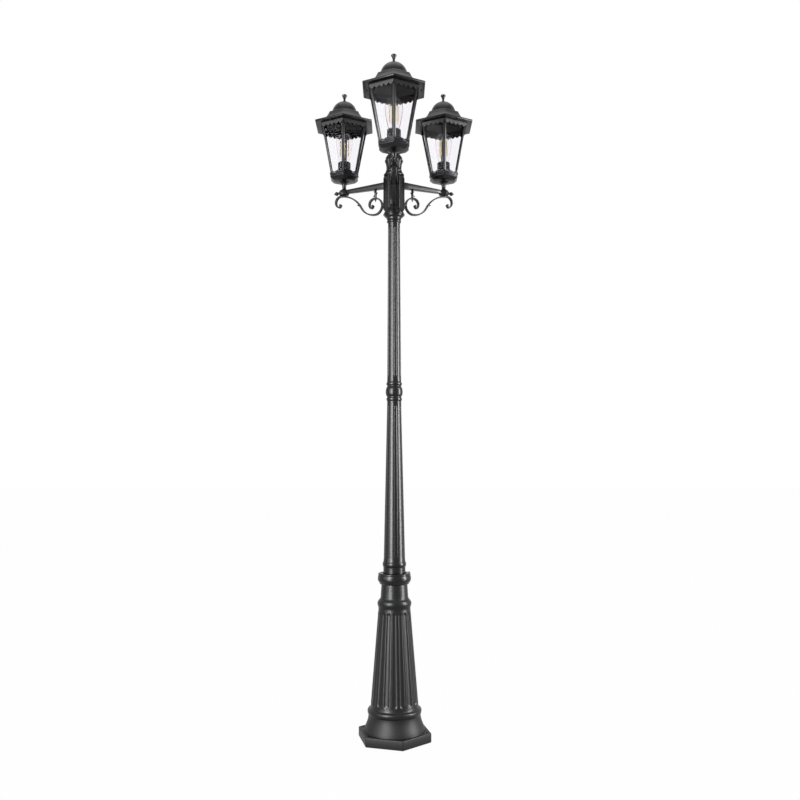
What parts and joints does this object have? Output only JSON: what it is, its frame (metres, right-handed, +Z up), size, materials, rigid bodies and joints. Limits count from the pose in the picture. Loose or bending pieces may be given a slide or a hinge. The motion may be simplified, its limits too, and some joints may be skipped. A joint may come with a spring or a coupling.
{
  "type": "lamp post",
  "caption": "Fluted outdoor lamp post on a hexagonal pedestal, with hexagonal glass lanterns on level arms braced by scrolls.",
  "frame": {"origin": "centre of the anchor circle at the pedestal's underside, on the post's axis", "axes": "+Z up the post; -Y along the front arm; the other arms at 120 degrees each side"},
  "size_m": [0.5966, 0.5787, 2.3983],
  "materials": {
    "black_aluminium": "satin black powder coat",
    "black_screw": "blackened",
    "zinc_steel": "zinc plated",
    "pane_glass": "clear",
    "black_phenolic": "satin",
    "nickel_cap": "nickel plated",
    "bulb_glass": "clear",
    "stem_glass": "clear",
    "amber_filament": "matt coating"
  },
  "bodies": {
    "post": {"pedestal": "black_aluminium", "column_nut": "zinc_steel", "lower_column": "black_aluminium", "column_nipple": "zinc_steel", "upper_column": "black_aluminium"},
    "collar": {"collar": "black_aluminium", "collar_screw": "black_screw"},
    "head": {"hub": "black_aluminium", "head_lock_screw": "black_screw", "hub_cap": "black_aluminium", "arm_front": "black_aluminium", "arm_right": "black_aluminium", "arm_left": "black_aluminium", "scroll_front": "black_aluminium", "scroll_right": "black_aluminium", "scroll_left": "black_aluminium", "spear_front": "black_aluminium", "spear_right": "black_aluminium", "spear_left": "black_aluminium", "gallery_front": "black_aluminium", "gallery_right": "black_aluminium", "gallery_left": "black_aluminium", "cage_front": "black_aluminium", "cage_right": "black_aluminium", "cage_left": "black_aluminium", "panes_front": "pane_glass", "panes_right": "pane_glass", "panes_left": "pane_glass", "lamp_holder_front": "black_phenolic", "lamp_holder_right": "black_phenolic", "lamp_holder_left": "black_phenolic"},
    "roof_front": {"roof_front": "black_aluminium", "roof_screws_front": "black_screw", "finial_front": "black_aluminium"},
    "roof_right": {"roof_right": "black_aluminium", "roof_screws_right": "black_screw", "finial_right": "black_aluminium"},
    "roof_left": {"roof_left": "black_aluminium", "roof_screws_left": "black_screw", "finial_left": "black_aluminium"},
    "bulb_front": {"bulb_cap_front": "nickel_cap", "bulb_glass_front": "bulb_glass", "filament_mount_front": "stem_glass", "filaments_front": "amber_filament"},
    "bulb_right": {"bulb_cap_right": "nickel_cap", "bulb_glass_right": "bulb_glass", "filament_mount_right": "stem_glass", "filaments_right": "amber_filament"},
    "bulb_left": {"bulb_cap_left": "nickel_cap", "bulb_glass_left": "bulb_glass", "filament_mount_left": "stem_glass", "filaments_left": "amber_filament"}
  },
  "joints": [
    {"name": "collar_slide", "type": "slide", "parent": "post", "child": "collar", "axis": [0, 0, 1], "range_m": [0, 0.2]},
    {"name": "head_swivel", "type": "hinge", "parent": "post", "child": "head", "pos_m": [0, 0, 1.889], "axis": [0, 0, 1], "range_deg": [-180, 180]},
    {"name": "roof_lift_front", "type": "slide", "parent": "head", "child": "roof_front", "axis": [0, 0, 1], "range_m": [0, 0.15]},
    {"name": "roof_lift_right", "type": "slide", "parent": "head", "child": "roof_right", "axis": [0, 0, 1], "range_m": [0, 0.15]},
    {"name": "roof_lift_left", "type": "slide", "parent": "head", "child": "roof_left", "axis": [0, 0, 1], "range_m": [0, 0.15]},
    {"name": "bulb_turn_front", "type": "hinge", "parent": "head", "child": "bulb_front", "pos_m": [0, -0.2205, 2.127], "axis": [0, 0, 1], "range_deg": [0, 360]},
    {"name": "bulb_turn_right", "type": "hinge", "parent": "head", "child": "bulb_right", "pos_m": [0.19096, 0.11025, 2.127], "axis": [0, 0, 1], "range_deg": [0, 360]},
    {"name": "bulb_turn_left", "type": "hinge", "parent": "head", "child": "bulb_left", "pos_m": [-0.19096, 0.11025, 2.127], "axis": [0, 0, 1], "range_deg": [0, 360]}
  ]
}
